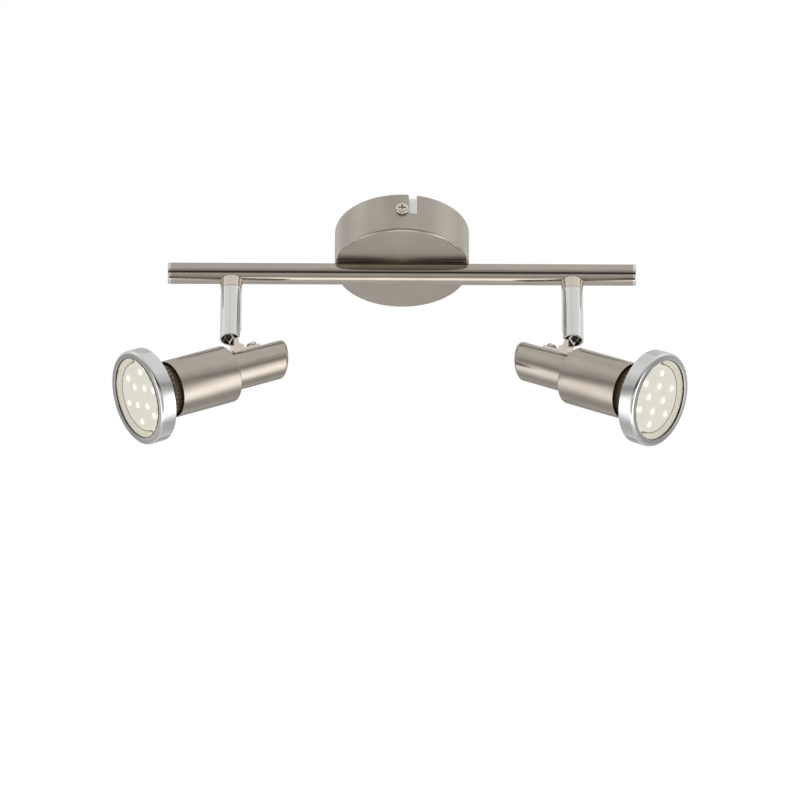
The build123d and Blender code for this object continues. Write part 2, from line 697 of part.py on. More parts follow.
def tilt_bracket(side):
    """Folded strip: screwed along the rear housing, with two ears that rise to the tilt pin."""
    holes = strip_holes(side)
    strip = bracket_strip(side)
    with BuildPart() as bracket:
        # The ears and the web that joins their front edges
        with BuildSketch(bracket_plane(side)):
            with BuildLine():
                Polyline(*BRACKET_PROFILE, close=True)
            make_face()
            Circle(KNUCKLE_R)
        extrude(amount=EAR_OUTER, both=True)
        with BuildSketch(bracket_plane(side)):
            with Locations((WEB_BACK, WEB_TOP)):
                Rectangle(12, 20, align=(Align.MAX, Align.MAX))
            with Locations((0, WEB_TOP)):
                Rectangle(20, 12, align=(Align.CENTER, Align.MIN))
        extrude(amount=EAR_INNER, both=True, mode=Mode.SUBTRACT)
        add(strip)
        # Trim whatever reaches into the housing
        with BuildSketch(across_plane(side, STRIP_REAR_U - 2)):
            Circle(REAR_R)
        extrude(amount=REAR_L, mode=Mode.SUBTRACT)
        with BuildSketch(bracket_plane(side)):
            Circle(PIN_R + 0.05)
        extrude(amount=EAR_OUTER + 1, both=True, mode=Mode.SUBTRACT)
        add(holes, mode=Mode.SUBTRACT)
    bracket.part.label = f"{side}_tilt_bracket"
    export_step(bracket.part, f"parts/{side}_tilt_bracket.step")


def bracket_screw(side):
    """Pan-head screw through the strip into the rear housing."""
    head = head_plane(side)
    under = head.origin + head.x_dir * BRACKET_SCREW_U + head.y_dir * (REAR_R + STRIP_T)
    with BuildPart() as screw:
        with BuildSketch(Plane(origin=under, x_dir=head.x_dir, z_dir=head.y_dir)):
            Circle(3.4)
        extrude(amount=2.2)
        fillet(screw.edges().filter_by(GeomType.CIRCLE).sort_by_distance(under + head.y_dir * 9)[0], 1.1)
        with BuildSketch(Plane(origin=under, x_dir=head.x_dir, z_dir=head.y_dir)):
            Circle(BRACKET_SCREW_R)
        extrude(amount=-6)
        with BuildSketch(Plane(origin=under + head.y_dir * 2.4, x_dir=head.x_dir, z_dir=head.y_dir)):
            Rectangle(3.8, 0.9)
            Rectangle(0.9, 3.8)
        extrude(amount=-1.5, taper=12, mode=Mode.SUBTRACT)
    screw.part.label = f"{side}_bracket_screw"
    export_step(screw.part, f"parts/{side}_bracket_screw.step")


def rear_form(side, wall):
    """The rear cup's round form with its slanted end, drawn in by a wall on all sides."""
    head = head_plane(side)
    slant = radians(REAR_SLANT)
    outward = -head.x_dir * cos(slant) - head.y_dir * sin(slant)
    with BuildPart() as form:
        with BuildSketch(across_plane(side, 0)):
            Circle(REAR_R - wall)
        extrude(amount=-2 * REAR_L)
        end = Plane(origin=head.origin - head.x_dir * REAR_L - outward * wall, z_dir=outward)
        split(bisect_by=end, keep=Keep.BOTTOM)
        fillet(form.faces().sort_by_distance(end.origin)[0].edges(), REAR_EDGE_R - wall)
    return form.part


def rear_housing(side):
    """Drawn cup behind the step. Its closed end slants, and is furthest back beside the arm."""
    holes = strip_holes(side)
    hollow = rear_form(side, SHEET)
    with BuildPart() as housing:
        add(rear_form(side, 0))
        add(hollow, mode=Mode.SUBTRACT)
        add(holes, mode=Mode.SUBTRACT)
    housing.part.label = f"{side}_rear_housing"
    export_step(housing.part, f"parts/{side}_rear_housing.step")


def front_housing(side):
    """Wide sleeve with a step plate, whose spigot enters the rear cup."""
    with BuildPart() as housing:
        with BuildSketch(head_plane(side)):
            with BuildLine():
                bore = FRONT_R - FRONT_WALL
                spigot_r = REAR_R - SHEET - 0.05
                spigot_bore = spigot_r - SHEET
                Polyline((0, spigot_r), (0, FRONT_R - 0.5), (0.5, FRONT_R), (FRONT_L - 0.3, FRONT_R),
                         (FRONT_L, FRONT_R - 0.3), (FRONT_L, bore), (STEP_T, bore), (STEP_T, LEAD_HOLE_R),
                         (0, LEAD_HOLE_R), (0, spigot_bore), (-SPIGOT_L, spigot_bore), (-SPIGOT_L, spigot_r),
                         close=True)
            make_face()
        revolve(axis=head_axis(side))
        with BuildSketch(across_plane(side, 0)):
            with PolarLocations(HOLDER_SCREW_R, 2, start_angle=HOLDER_SCREW_ANGLE):
                Circle(HOLDER_SCREW_HOLE_R)
        extrude(amount=2 * STEP_T, mode=Mode.SUBTRACT)
    housing.part.label = f"{side}_front_housing"
    export_step(housing.part, f"parts/{side}_front_housing.step")


def lamp_holder(side):
    """Ceramic twist-lock holder: keyhole arcs in its face, and room behind them for the pins."""
    tip = across_plane(side, 2 * HOLDER_FACE_U).origin
    with BuildPart() as holder:
        with BuildSketch(across_plane(side, STEP_T)):
            Circle(HOLDER_R)
        extrude(amount=HOLDER_FACE_U - STEP_T)
        chamfer(holder.edges().filter_by(GeomType.CIRCLE).sort_by_distance(tip)[0], 0.8)
        for start in (0, 180):
            arc = CenterArc((0, 0), PIN_CIRCLE_R, start, TWIST, mode=Mode.PRIVATE)
            with BuildSketch(across_plane(side, HOLDER_FACE_U - HOLDER_LIP_T)):
                SlotArc(arc, 2 * (PIN_NECK_R + HOLDER_GAP))
                with PolarLocations(PIN_CIRCLE_R, 1, start_angle=start + TWIST):
                    Circle(PIN_HEAD_R + HOLDER_GAP)
            extrude(amount=HOLDER_LIP_T + 1, mode=Mode.SUBTRACT)
            with BuildSketch(across_plane(side, HOLDER_FACE_U - HOLDER_LIP_T)):
                SlotArc(arc, 2 * (PIN_HEAD_R + HOLDER_GAP))
            extrude(amount=-HOLDER_POCKET_T, mode=Mode.SUBTRACT)
        # Screw holes and the two lead holes at the back
        with BuildSketch(across_plane(side, STEP_T)):
            with PolarLocations(HOLDER_SCREW_R, 2, start_angle=HOLDER_SCREW_ANGLE):
                Circle(HOLDER_SCREW_HOLE_R)
        extrude(amount=7, mode=Mode.SUBTRACT)
        with BuildSketch(across_plane(side, STEP_T)):
            with GridLocations(0, 2 * LEAD_PITCH, 1, 2):
                Circle(LEAD_R + 0.05)
        extrude(amount=3, mode=Mode.SUBTRACT)
    holder.part.label = f"{side}_lamp_holder"
    export_step(holder.part, f"parts/{side}_lamp_holder.step")


def holder_screws(side):
    """Two screws that hold the lamp holder to the step plate, from behind."""
    with BuildPart() as screws:
        with BuildSketch(across_plane(side, 0)):
            with PolarLocations(HOLDER_SCREW_R, 2, start_angle=HOLDER_SCREW_ANGLE):
                Circle(2.5)
        extrude(amount=-2)
        with BuildSketch(across_plane(side, -1)):
            with PolarLocations(HOLDER_SCREW_R, 2, start_angle=HOLDER_SCREW_ANGLE):
                Circle(HOLDER_SCREW_HOLE_R)
        extrude(amount=8)
    screws.part.label = f"{side}_holder_screws"
    export_step(screws.part, f"parts/{side}_holder_screws.step")


def head_leads(side):
    """Two leads from between the bracket's ears, through the rear housing, to the holder."""
    head = head_plane(side)
    with BuildPart() as leads:
        for across in (-LEAD_PITCH, LEAD_PITCH):
            local = [(-17.2, 17.0, across), (-15.2, 9, across), (-11, 0, across), (STEP_T + 3, 0, across)]
            points = [head.from_local_coords(p) for p in local]
            with BuildLine() as route:
                FilletPolyline(*points, radius=(6, 6))
            with BuildSketch(Plane(origin=points[0], z_dir=points[1] - points[0])):
                Circle(LEAD_R)
            sweep(path=route.wire())
    leads.part.label = f"{side}_head_leads"
    export_step(leads.part, f"parts/{side}_head_leads.step")


# ---------------------------------------------------------------- lamps


def lamp_base(side):
    """White insulating base of the lamp."""
    with BuildPart() as base:
        with BuildSketch(across_plane(side, LAMP_BACK_U)):
            Circle(BASE_R)
        extrude(amount=BODY_BACK_U - LAMP_BACK_U)
        chamfer(base.edges().filter_by(GeomType.CIRCLE).sort_by_distance(head_plane(side).origin)[0], 0.8)
    base.part.label = f"{side}_lamp_base"
    export_step(base.part, f"parts/{side}_lamp_base.step")


def lamp_pins(side):
    """Two headed contact pins, locked behind the holder's face."""
    with BuildPart() as pins:
        with BuildSketch(across_plane(side, LAMP_BACK_U)):
            with PolarLocations(PIN_CIRCLE_R, 2):
                Circle(PIN_NECK_R)
        extrude(amount=PIN_HEAD_U - LAMP_BACK_U - PIN_HEAD_T / 2)
        with BuildSketch(across_plane(side, PIN_HEAD_U)):
            with PolarLocations(PIN_CIRCLE_R, 2):
                Circle(PIN_HEAD_R)
        extrude(amount=-PIN_HEAD_T)
    pins.part.label = f"{side}_lamp_pins"
    export_step(pins.part, f"parts/{side}_lamp_pins.step")


def lamp_body(side):
    """Trumpet-shaped lamp body with a shallow cup for the light board."""
    board_front = BOARD_U + BOARD_T
    seat_r = BOARD_R + 0.1
    lens_seat_r = LENS_R + 0.1
    with BuildPart() as body:
        with BuildSketch(head_plane(side)):
            with BuildLine():
                Polyline((BODY_BACK_U, 0), (BODY_BACK_U, BODY_BACK_R), (NECK_U, NECK_R))
                TangentArc((NECK_U, NECK_R), (RIM_BACK_U, RIM_BACK_R),
                           tangent=(NECK_U - BODY_BACK_U, NECK_R - BODY_BACK_R))
                Polyline((RIM_BACK_U, RIM_BACK_R), (RIM_BACK_U, LAMP_R), (LAMP_FRONT_U, LAMP_R),
                         (LAMP_FRONT_U, lens_seat_r), (LENS_BACK_U, lens_seat_r), (LENS_BACK_U, CUP_R),
                         (board_front, seat_r), (BOARD_U, seat_r), (BOARD_U, 0), (BODY_BACK_U, 0))
            make_face()
        revolve(axis=head_axis(side))
    body.part.label = f"{side}_lamp_body"
    export_step(body.part, f"parts/{side}_lamp_body.step")


def led_board(side):
    """White round board that carries the light chips."""
    with BuildPart() as board:
        with BuildSketch(across_plane(side, BOARD_U)):
            Circle(BOARD_R)
        extrude(amount=BOARD_T)
    board.part.label = f"{side}_led_board"
    export_step(board.part, f"parts/{side}_led_board.step")


def leds(side):
    """Ten light chips: six on the outer circle and four on the inner one."""
    with BuildPart() as chips:
        with BuildSketch(across_plane(side, BOARD_U + BOARD_T)):
            with PolarLocations(LED_OUTER_R, 6, start_angle=LED_TURN[side]):
                Circle(LED_R)
            with PolarLocations(LED_INNER_R, 4, start_angle=LED_TURN[side] - LED_INNER_LAG):
                Circle(LED_R)
        extrude(amount=LED_T)
    chips.part.label = f"{side}_leds"
    export_step(chips.part, f"parts/{side}_leds.step")


def lamp_lens(side):
    """Clear front disc."""
    with BuildPart() as lens:
        with BuildSketch(across_plane(side, LENS_BACK_U)):
            Circle(LENS_R)
        extrude(amount=LENS_T)
    lens.part.label = f"{side}_lamp_lens"
    export_step(lens.part, f"parts/{side}_lamp_lens.step")


def trim_ring(side):
    """Chromed ring over the lamp's front, with a rounded outer edge and a bevelled lip."""
    edge_u = RING_FRONT_U - RING_EDGE_R
    edge_r = RING_R - RING_EDGE_R
    seat_u = LAMP_FRONT_U + 0.1
    groove_u = RIM_BACK_U - CLIP_GROOVE_W
    with BuildPart() as ring:
        with BuildSketch(head_plane(side)):
            with BuildLine():
                Polyline((RING_BACK_U, RING_BACK_R), (RING_BACK_U, RING_R - 0.3),
                         (RING_BACK_U + 0.3, RING_R), (edge_u, RING_R))
                RadiusArc((edge_u, RING_R), (RING_FRONT_U, edge_r), RING_EDGE_R)
                Polyline((RING_FRONT_U, edge_r), (RING_FRONT_U - RING_LIP_EDGE, RING_LIP_R),
                         (seat_u, RING_LIP_R), (seat_u, RING_BORE_R), (RIM_BACK_U, RING_BORE_R),
                         (RIM_BACK_U, CLIP_GROOVE_R), (groove_u, CLIP_GROOVE_R), (groove_u, RING_BORE_R),
                         (groove_u - 1, RING_BORE_R), (groove_u - 2, RING_BACK_R),
                         (RING_BACK_U, RING_BACK_R))
            make_face()
        revolve(axis=head_axis(side))
    ring.part.label = f"{side}_trim_ring"
    export_step(ring.part, f"parts/{side}_trim_ring.step")


def ring_clip(side):
    """Open spring ring in the trim ring's groove, behind the lamp's rim."""
    with BuildPart() as clip:
        with BuildSketch(head_plane(side)):
            with Locations((RIM_BACK_U - CLIP_GROOVE_W / 2, RING_BORE_R - 0.05)):
                Circle(CLIP_WIRE_R)
        revolve(axis=head_axis(side), revolution_arc=CLIP_TURN)
    clip.part.label = f"{side}_ring_clip"
    export_step(clip.part, f"parts/{side}_ring_clip.step")


for name in SIDES:
    end_cap(name)
    arm_collar(name)
    swivel_washer(name)
    arm_tube(name)
    hinge_insert(name)
    hinge_pin(name)
    arm_leads(name)
    tilt_bracket(name)
    bracket_screw(name)
    rear_housing(name)
    front_housing(name)
    lamp_holder(name)
    holder_screws(name)
    head_leads(name)
    lamp_base(name)
    lamp_pins(name)
    lamp_body(name)
    led_board(name)
    leds(name)
    lamp_lens(name)
    trim_ring(name)
    ring_clip(name)
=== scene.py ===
import json
import math

import bmesh
import bpy
from mathutils import Matrix, Vector


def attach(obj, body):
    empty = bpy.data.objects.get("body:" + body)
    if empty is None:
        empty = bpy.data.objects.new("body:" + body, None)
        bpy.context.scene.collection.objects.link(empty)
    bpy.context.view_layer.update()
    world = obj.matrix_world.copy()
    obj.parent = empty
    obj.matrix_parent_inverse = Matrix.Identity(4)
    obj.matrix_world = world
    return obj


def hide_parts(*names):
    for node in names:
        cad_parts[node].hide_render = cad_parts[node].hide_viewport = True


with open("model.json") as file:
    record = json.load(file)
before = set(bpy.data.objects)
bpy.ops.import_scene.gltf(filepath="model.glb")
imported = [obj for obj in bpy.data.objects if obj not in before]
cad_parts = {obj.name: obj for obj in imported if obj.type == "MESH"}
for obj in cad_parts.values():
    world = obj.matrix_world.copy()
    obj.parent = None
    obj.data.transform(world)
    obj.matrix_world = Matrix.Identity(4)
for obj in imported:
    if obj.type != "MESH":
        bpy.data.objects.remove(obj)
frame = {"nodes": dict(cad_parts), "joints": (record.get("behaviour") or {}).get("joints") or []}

# The looks of a ceiling spot bar: a drawn canopy, a level tube, two short arms, and two tilting
# heads with twist-lock lamps. Lengths are in metres. In a head's own frame z runs along the
# head's axis to the lamp, counted from the step between the two housings, and x is the side
# where the arm is.

MM = 0.001
DEG = math.pi / 180
SIDES = ("left", "right")
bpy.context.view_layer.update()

# Walls and small radii of the drawn and turned pieces
REAR_WALL = 1.0 * MM
REAR_EDGE = 2.2 * MM
REAR_LENGTH = 39.5 * MM
REAR_SLANT = 18.5 * DEG
LEAD_SLOT = (-18.5 * MM, -12.5 * MM)
LEAD_SLOT_HALF = 11.3 * DEG
FRONT_WALL = 0.8 * MM
STEP_PLATE = 1.5 * MM
STEP_BORE = 3.5 * MM
STEP_EDGE = 0.7 * MM
LIP_EDGE = 0.25 * MM

# The lamp's shell, from its back to its rim
SHELL_BACK = (24.0 * MM, 12.5 * MM)
SHELL_NECK = (38.0 * MM, 14.6 * MM)
SHELL_RIM = (58.0 * MM, 23.9 * MM)
SHELL_FRONT = (61.4 * MM, 25.0 * MM)
SHELL_SEAM = 45.6 * MM
SEAM_WIDTH = 0.9 * MM
SEAM_DEPTH = 0.7 * MM
FLUTES = 36
FLUTE_DEPTH = 0.45 * MM
DIMPLES = 44
DIMPLE_ROW = 1.7 * MM
SHELL_STEPS = 432

# The lamp's face
BOARD_BACK = 57.0 * MM
BOARD_FRONT = 58.2 * MM
BOARD_R = 20.4 * MM
SEAL_R = 0.28 * MM
LENS_BACK = 60.1 * MM
LENS_FLANGE = 61.2 * MM
LENS_EDGE = 62.2 * MM
LENS_CROWN = 62.7 * MM
LENS_STEP_R = 23.8 * MM
LENS_R = 24.2 * MM
CUP_R = 23.7 * MM
CUP_FACETS = 36
CUP_FACET_DEPTH = 0.6 * MM
CHIP_R = 1.3 * MM
CHIP_H = 0.9 * MM
FOOT_R = 2.2 * MM
FOOT_H = 0.2 * MM
CHIP_CIRCLES = ((15.4 * MM, 6, 0.0), (7.6 * MM, 4, -2.5 * DEG))
CHIP_TURN = {"left": 10.0 * DEG, "right": 26.6 * DEG}
LATCH_TURN = {"left": 16 * DEG, "right": -42 * DEG}

# The chromed ring
RING_BACK = 53.0 * MM
RING_FRONT = 63.0 * MM
RING_R = 28.2 * MM
RING_EDGE = 1.8 * MM
RING_BACK_R = 27.2 * MM
RING_LIP_R = 24.0 * MM
RING_BORE_R = 25.3 * MM


# ------------------------------------------------------------------ frames and measures


def joint(name):
    return next(j for j in frame["joints"] if j["name"] == name)


def head_frame(side):
    """A head's own frame at rest, from its lamp's twist axis."""
    twist = joint(f"{side}_lamp_twist")
    axis = Vector(twist["axis"]).normalized()
    rise = (Vector((0, 0, 1)) - axis * axis.z).normalized()
    across = axis.cross(rise)
    place = Matrix((rise, across, axis)).transposed().to_4x4()
    place.translation = Vector(twist["pos_m"])
    return place


def reach(node, place):
    """Lowest and highest z and the largest radius of a CAD node in a frame."""
    inverse = place.inverted()
    points = [inverse @ v.co for v in frame["nodes"][node].data.vertices]
    heights = [p.z for p in points]
    return min(heights), max(heights), max(math.hypot(p.x, p.y) for p in points)


# ------------------------------------------------------------------ mesh making

# A radius below this is a point on the axis
ON_AXIS = 1e-7


def rounded(outline, steps=6):
    """An outline of (z, r) or (z, r, radius) points, with an arc at each corner that has a radius."""
    points = []
    count = len(outline)
    for i, corner in enumerate(outline):
        here = Vector(corner[:2])
        radius = corner[2] if len(corner) > 2 else 0
        if not radius:
            points.append(here)
            continue
        to_last = (Vector(outline[i - 1][:2]) - here).normalized()
        to_next = (Vector(outline[(i + 1) % count][:2]) - here).normalized()
        half = to_last.angle(to_next) / 2
        centre = here + (to_last + to_next).normalized() * (radius / math.sin(half))
        start = here + to_last * (radius / math.tan(half)) - centre
        end = here + to_next * (radius / math.tan(half)) - centre
        sweep = start.angle_signed(end)
        for k in range(steps + 1):
            turn = Matrix.Rotation(-sweep * k / steps, 2)
            points.append(centre + turn @ start)
    return points


def finish_mesh(name, bm, place, materials, sharp=35):
    """Turns a bmesh into a placed object with soft shading up to the sharp angle in degrees.

    A brushed piece keeps its head's axes for the brush lines. Any other mesh is squared to the room.
    """
    if nickel_housing not in materials:
        bm.transform(place.to_3x3().to_4x4())
        place = Matrix.Translation(place.translation)
    bmesh.ops.recalc_face_normals(bm, faces=bm.faces)
    mesh = bpy.data.meshes.new(name)
    bm.to_mesh(mesh)
    bm.free()
    mesh.shade_smooth()
    mesh.set_sharp_from_angle(angle=sharp * DEG)
    for material in materials:
        mesh.materials.append(material)
    piece = bpy.data.objects.new(name, mesh)
    piece.matrix_world = place
    bpy.context.scene.collection.objects.link(piece)
    return piece


def lathe(bm, outline, steps=144, radius=None):
    """Turns an outline of (z, r) points about z. A radius function of (z, r, angle) may shape it."""
    rings = []
    for z, r in outline:
        if r < ON_AXIS:
            rings.append([bm.verts.new((0, 0, z))])
            continue
        ring = []
        for k in range(steps):
            angle = 2 * math.pi * k / steps
            shaped = radius(z, r, angle) if radius else r
            ring.append(bm.verts.new((shaped * math.cos(angle), shaped * math.sin(angle), z)))
        rings.append(ring)
    pairs = list(zip(rings, rings[1:]))
    if len(rings[0]) > 1 and len(rings[-1]) > 1:
        pairs.append((rings[-1], rings[0]))
    for a, b in pairs:
        for k in range(steps):
            n = (k + 1) % steps
            if len(a) > 1 and len(b) > 1:
                bm.faces.new((a[k], a[n], b[n], b[k]))
            elif len(a) > 1:
                bm.faces.new((a[k], a[n], b[0]))
            else:
                bm.faces.new((a[0], b[n], b[k]))


def turned(name, outline, place, materials, steps=144):
    bm = bmesh.new()
    lathe(bm, rounded(outline), steps)
    return finish_mesh(name, bm, place, materials)


# ------------------------------------------------------------------ materials


def linear(colour):
    """sRGB hex to the linear colour that shaders take."""
    parts = [int(colour[i:i + 2], 16) / 255 for i in (1, 3, 5)]
    return tuple(c / 12.92 if c <= 0.04045 else ((c + 0.055) / 1.055) ** 2.4 for c in parts) + (1.0,)


def add(tree, kind, inputs=None, **settings):
    """Adds a node with its settings. An input is a value, or another node's output."""
    made = tree.nodes.new("ShaderNode" + kind)
    for name, value in settings.items():
        setattr(made, name, value)
    for name, value in (inputs or {}).items():
        if isinstance(value, bpy.types.NodeSocket):
            tree.links.new(value, made.inputs[name])
        else:
            made.inputs[name].default_value = value
    return made


def new_material(name, **sockets):
    """A material and its tree. Sockets are the shader's own values, by input name."""
    made = bpy.data.materials.new(name)
    made.use_nodes = True
    shader = made.node_tree.nodes["Principled BSDF"]
    for socket, value in sockets.items():
        shader.inputs[socket.replace("_", " ")].default_value = value
    return made, made.node_tree, shader


def satin_metal(name, light, dark, grain, roughness, across, radial, turn=0.0, bump=0.025, anisotropic=0.6):
    """Plated metal with brush lines. grain scales the lines' noise along x, y and z."""
    made, tree, shader = new_material(name, Metallic=1.0, Roughness=roughness, Anisotropic=anisotropic)
    shader.inputs["Anisotropic Rotation"].default_value = turn
    whole = add(tree, "TexCoord").outputs["Object"]
    place = whole
    if across == "circles":
        parts = add(tree, "SeparateXYZ", {0: whole})
        flat = add(tree, "CombineXYZ", {"X": parts.outputs["X"], "Y": parts.outputs["Y"]})
        distance = add(tree, "VectorMath", {0: flat.outputs[0]}, operation="LENGTH")
        angle = add(tree, "Math", {0: parts.outputs["Y"], 1: parts.outputs["X"]}, operation="ARCTAN2")
        turned_place = {"X": distance.outputs["Value"], "Y": angle.outputs[0], "Z": parts.outputs["Z"]}
        place = add(tree, "CombineXYZ", turned_place).outputs[0]
    stretched = add(tree, "VectorMath", {0: place, 1: grain}, operation="MULTIPLY")
    lines = add(tree, "TexNoise", {"Vector": stretched.outputs[0], "Scale": 1.0, "Detail": 3.0,
                                   "Roughness": 0.6})
    cloud = add(tree, "TexNoise", {"Vector": whole, "Scale": 1 / (18 * MM), "Detail": 2.0})
    both = add(tree, "Math", {0: lines.outputs["Fac"], 1: cloud.outputs["Fac"]}, operation="ADD")
    share = add(tree, "MapRange", {"Value": both.outputs[0], "From Min": 0.6, "From Max": 1.4})
    tint = add(tree, "Mix", {0: share.outputs[0], 6: linear(dark), 7: linear(light)}, data_type="RGBA")
    rough = add(tree, "MapRange", {"Value": lines.outputs["Fac"], "From Min": 0.25, "From Max": 0.75,
                                   "To Min": roughness - 0.03, "To Max": roughness + 0.04})
    relief = add(tree, "Bump", {"Height": lines.outputs["Fac"], "Strength": bump, "Distance": 0.05 * MM})
    tangent = add(tree, "Tangent", direction_type="RADIAL", axis=radial)
    tree.links.new(tint.outputs[2], shader.inputs["Base Color"])
    tree.links.new(rough.outputs[0], shader.inputs["Roughness"])
    tree.links.new(relief.outputs[0], shader.inputs["Normal"])
    tree.links.new(tangent.outputs[0], shader.inputs["Tangent"])
    return made


def bright_metal(name, light, dark, roughness, grit):
    """Plated or turned metal with faint cloudiness and fine wear. grit is the wear's size."""
    made, tree, shader = new_material(name, Metallic=1.0, Roughness=roughness)
    place = add(tree, "TexCoord").outputs["Object"]
    cloud = add(tree, "TexNoise", {"Vector": place, "Scale": 1 / (9 * MM), "Detail": 4.0, "Roughness": 0.55})
    fine = add(tree, "TexNoise", {"Vector": place, "Scale": 1 / grit, "Detail": 2.0})
    tint = add(tree, "Mix", {0: cloud.outputs["Fac"], 6: linear(dark), 7: linear(light)}, data_type="RGBA")
    rough = add(tree, "MapRange", {"Value": fine.outputs["Fac"], "From Min": 0.3, "From Max": 0.7,
                                   "To Min": roughness * 0.7, "To Max": roughness * 1.5})
    relief = add(tree, "Bump", {"Height": cloud.outputs["Fac"], "Strength": 0.02, "Distance": 0.1 * MM})
    tree.links.new(tint.outputs[2], shader.inputs["Base Color"])
    tree.links.new(rough.outputs[0], shader.inputs["Roughness"])
    tree.links.new(relief.outputs[0], shader.inputs["Normal"])
    return made


def moulded(name, light, dark, roughness, grit, bump=0.15, **sockets):
    """Plastic, ceramic or glass moulding with a fine-grained skin."""
    made, tree, shader = new_material(name, Roughness=roughness, **sockets)
    place = add(tree, "TexCoord").outputs["Object"]
    cloud = add(tree, "TexNoise", {"Vector": place, "Scale": 1 / (6 * MM), "Detail": 3.0})
    grain = add(tree, "TexNoise", {"Vector": place, "Scale": 1 / grit, "Detail": 3.0})
    tint = add(tree, "Mix", {0: cloud.outputs["Fac"], 6: linear(dark), 7: linear(light)}, data_type="RGBA")
    rough = add(tree, "MapRange", {"Value": grain.outputs["Fac"], "To Min": roughness * 0.8,
                                   "To Max": roughness * 1.2})
    relief = add(tree, "Bump", {"Height": grain.outputs["Fac"], "Strength": bump, "Distance": 0.05 * MM})
    tree.links.new(tint.outputs[2], shader.inputs["Base Color"])
    tree.links.new(rough.outputs[0], shader.inputs["Roughness"])
    tree.links.new(relief.outputs[0], shader.inputs["Normal"])
    return made


# Brush lines are 0.05 mm apart on the real plating. They are drawn at 0.3 mm, or they wouldn't show.
LINE = 1 / (0.3 * MM)
RUN = 1 / (30 * MM)

# Satin nickel on steel, brushed along the tube: soft bands that run its length
nickel_tube = satin_metal("satin_nickel_brushed_lengthwise", "#b9b1a6", "#aca499", (RUN, LINE, LINE),
                          0.11, "lines", "X", anisotropic=0.4)
# The same plating on the drawn housings, brushed along each head's axis
nickel_housing = satin_metal("satin_nickel_drawn_housing", "#b9b1a6", "#aba398", (LINE, LINE, RUN),
                             0.16, "lines", "Z", anisotropic=0.4)
# The same plating on the canopy, brushed in circles on a lathe: light fans out from its middle
nickel_canopy = satin_metal("satin_nickel_spun_canopy", "#b9b2a8", "#aea69b", (LINE, 1.2, LINE),
                            0.22, "circles", "Z", turn=0.25, anisotropic=0.95)
# Nickel without brushing on the small pressed and turned pieces: warm and bright
nickel_bright = bright_metal("bright_nickel_plated_steel", "#ddd5ca", "#d0c6ba", 0.16, 0.5 * MM)
# Chrome on polished brass tube: cold, mirror bright
chrome = bright_metal("polished_chrome_plate", "#dcdcda", "#d3d3d1", 0.05, 0.8 * MM)
# Zinc on the ceiling bracket: pale, almost white where the tab shows
pale_zinc = bright_metal("bright_zinc_plated_strip", "#f2f3f1", "#e6e8e6", 0.4, 0.5 * MM)
zinc = bright_metal("zinc_plated_steel", "#c3c6c8", "#a4a8ab", 0.34, 0.4 * MM)
brass = bright_metal("turned_brass", "#d8b36a", "#bd9650", 0.25, 0.4 * MM)
# Nylon insert in the arm's end, painted black as painted shade for the shadow inside the arm: the hinge hangs
# out of a dark hole
insert_painted_shade = moulded("black_nylon_insert_painted_shade", "#2c2a28", "#1c1b19", 0.4, 0.3 * MM)
nylon = moulded("natural_nylon_moulding", "#ece8dc", "#dcd7c8", 0.45, 0.3 * MM)
silicone = moulded("silicone_lead_sleeve", "#e2ded4", "#d2cdc0", 0.5, 0.3 * MM)
earth_pvc = moulded("green_yellow_pvc_sleeve", "#c9cf2c", "#3d8a2e", 0.4, 0.3 * MM)
steatite = moulded("unglazed_steatite_ceramic", "#efeadd", "#ddd6c6", 0.65, 0.2 * MM, bump=0.3)
base_plastic = moulded("white_pbt_lamp_base", "#e9e7e0", "#dad7cd", 0.4, 0.25 * MM)
# Smoky brown polycarbonate round the lamp: glossy ribs that catch a little light
body_brown = moulded("smoky_brown_polycarbonate", "#6e5c48", "#3a2d21", 0.22, 0.5 * MM, Coat_Weight=0.4,
                     Coat_Roughness=0.1)
# The lamp's inner cone: cream and glossy, lit by the chips, and given a painted glow (a weak emission) on top
# of that light
cone_cream_painted_glow = moulded("cream_reflector_painted_glow", "#f7f4ea", "#ece7d6", 0.18, 0.4 * MM,
                     Emission_Color=linear("#f3eedd"), Emission_Strength=0.35)
# White board with a painted glow: its emission stands in for light falling on it
board_white_painted_glow = moulded("white_solder_masked_board_painted_glow", "#f1efe8", "#e9e7de", 0.4, 0.3 * MM,
                      Emission_Color=linear("#f1efe4"), Emission_Strength=0.5)
# Grey seal at the board's edge: a thin line between board and cup
seal_grey = moulded("grey_silicone_seal", "#b5aea1", "#9d968a", 0.5, 0.2 * MM)
# The chips shine from a phosphor dome, and their clear foot glows more weakly round it
chip_light = moulded("lit_phosphor_over_blue_chip", "#fffef8", "#fff9e8", 0.3, 0.2 * MM,
                     Emission_Color=linear("#fffdf0"), Emission_Strength=1.1)
chip_foot = moulded("glowing_silicone_chip_foot", "#fbf9f0", "#f4f1e4", 0.35, 0.2 * MM,
                    Emission_Color=linear("#f8f5e8"), Emission_Strength=0.62)
# Clear moulded front: it shows the studio's soft light and bends the chips a little
lens_clear = moulded("clear_polycarbonate_lens", "#ffffff", "#fbfaf4", 0.03, 0.6 * MM, bump=0.02,
                     Transmission_Weight=1.0, IOR=1.49)
latch_black = moulded("black_moulded_latch", "#26231f", "#181613", 0.35, 0.3 * MM)

CAD_FINISHES = {
    nickel_canopy: ["canopy"],
    nickel_tube: ["tube_rail"],
    nickel_bright: ["canopy_screws", "arm_collar", "tilt_bracket", "bracket_screw", "hinge_pin"],
    chrome: ["end_cap", "swivel_washer", "arm_tube", "trim_ring"],
    pale_zinc: ["ceiling_bracket"],
    zinc: ["centre_nipple", "centre_washer", "centre_nut", "swivel_nipples", "swivel_nuts",
           "terminal_screws", "block_screw", "earth_screw", "holder_screws", "ring_clip"],
    brass: ["terminal_clamps", "lamp_pins"],
    nylon: ["terminal_block"],
    insert_painted_shade: ["hinge_insert"],
    silicone: ["rail_leads", "arm_leads", "head_leads"],
    earth_pvc: ["earth_lead"],
    steatite: ["lamp_holder"],
    base_plastic: ["lamp_base"],
}

